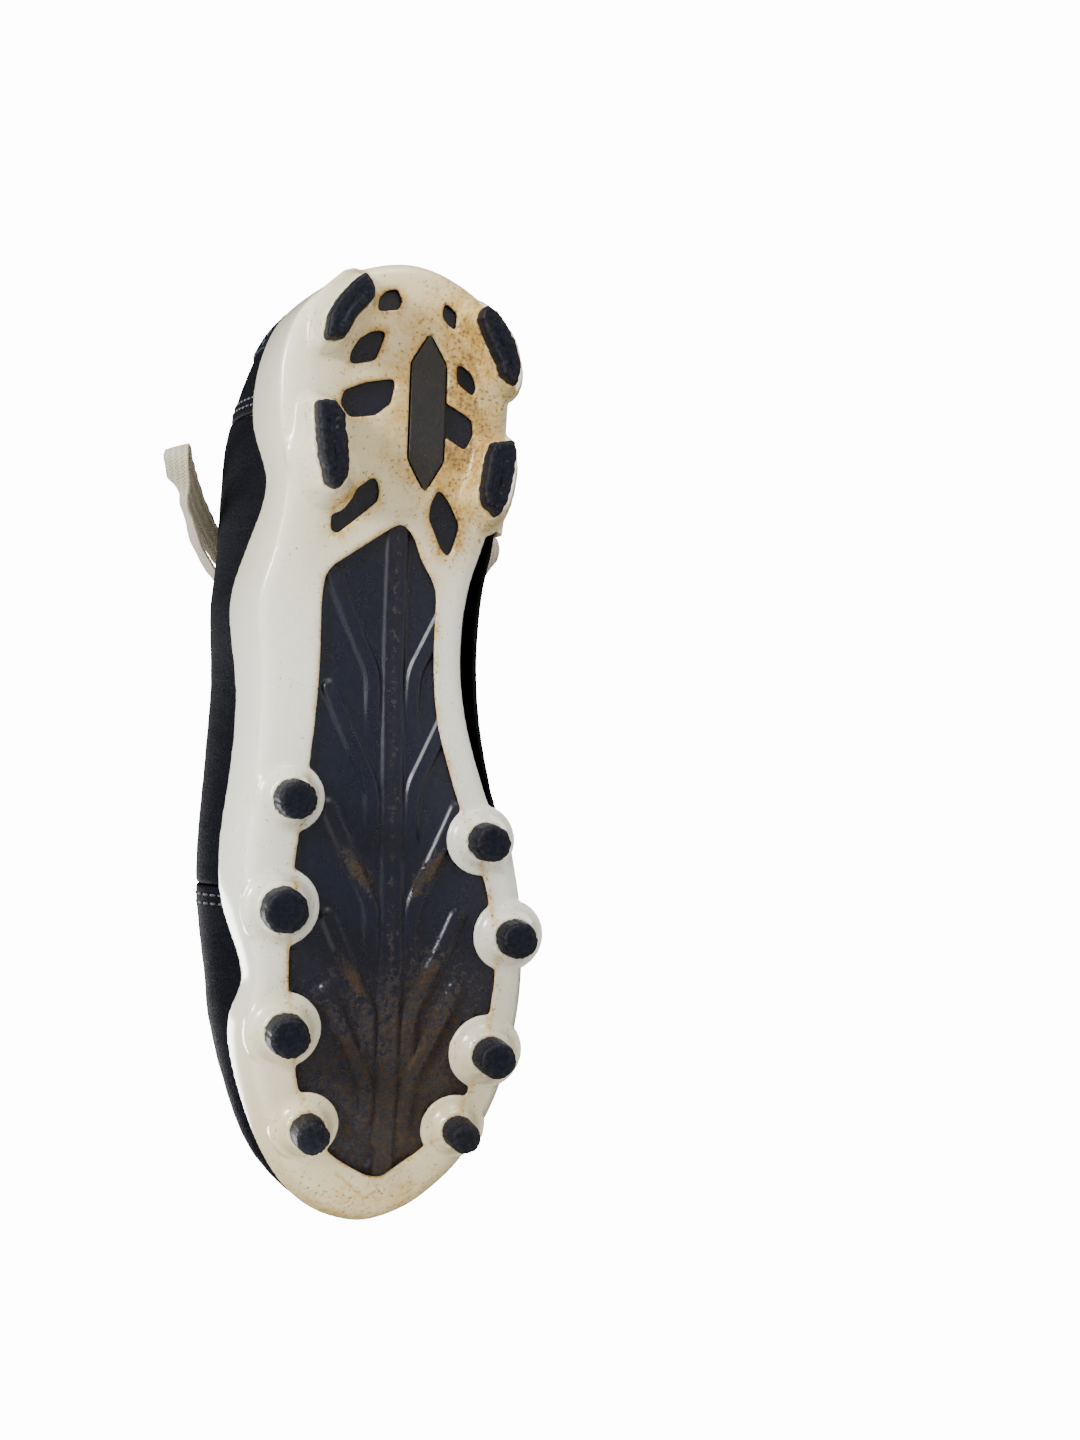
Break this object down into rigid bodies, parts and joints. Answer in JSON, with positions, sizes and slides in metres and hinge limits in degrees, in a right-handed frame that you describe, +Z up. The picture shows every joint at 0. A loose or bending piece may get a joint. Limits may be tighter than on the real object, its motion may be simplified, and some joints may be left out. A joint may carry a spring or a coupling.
{
  "type": "soccer cleat",
  "caption": "Low-cut lace-up soccer cleat for the left foot, with a two-tone windowed outsole, heel blades and round forefoot studs.",
  "frame": {"origin": "centre of the shoe's footprint, on the ground under the stud tips", "axes": "+X from heel to toe, +Y to the lateral side (the shoe's left), +Z up from the ground"},
  "size_m": [0.2822, 0.1076, 0.1181],
  "materials": {
    "frame_light": "glossy off-white moulded plastic, stained by soil",
    "base_dark": "glossy very dark navy moulded plastic",
    "badge": "satin dark navy plastic",
    "stud_dark": "worn matte dark navy plastic",
    "upper_skin": "matte black-navy synthetic leather",
    "overlay": "satin dark navy synthetic overlay",
    "lining": "dark knitted textile",
    "sock_textile": "dark woven top on foam",
    "tongue_textile": "dark padded mesh",
    "foam": "grey foam",
    "board": "fibre board",
    "lace": "flat woven khaki lace",
    "aglet": "clear-coated plastic tip"
  },
  "bodies": {
    "shoe": {"outsole_frame": "frame_light", "base_plate": "base_dark", "heel_badge": "badge", "lasting_board": "board", "sockliner": "sock_textile", "vamp": "upper_skin", "quarter_lateral": "upper_skin", "quarter_medial": "upper_skin", "heel_panel": "upper_skin", "collar_lining": "lining", "vamp_lining": "lining", "quarter_lining_lateral": "lining", "quarter_lining_medial": "lining", "heel_counter": "board", "toe_puff": "board", "collar_padding": "foam", "eyestay_lateral": "overlay", "eyestay_medial": "overlay", "heel_overlay": "overlay", "lace": "lace", "lace_knot": "lace", "lace_loop_lateral": "lace", "lace_loop_medial": "lace", "lace_end_lateral": "lace", "lace_end_medial": "lace", "aglet_lateral": "aglet", "aglet_medial": "aglet", "stud_lateral_1": "stud_dark", "stud_lateral_2": "stud_dark", "stud_lateral_3": "stud_dark", "stud_lateral_4": "stud_dark", "stud_medial_1": "stud_dark", "stud_medial_2": "stud_dark", "stud_medial_3": "stud_dark", "stud_medial_4": "stud_dark", "heel_blade_lateral_rear": "stud_dark", "heel_blade_lateral_front": "stud_dark", "heel_blade_medial_rear": "stud_dark", "heel_blade_medial_front": "stud_dark"},
    "tongue": {"tongue": "tongue_textile"}
  },
  "joints": [
    {"name": "tongue_swing", "type": "hinge", "parent": "shoe", "child": "tongue", "pos_m": [0.0432, 0, 0.0635], "axis": [0, -1, 0], "range_deg": [0, 12]}
  ]
}
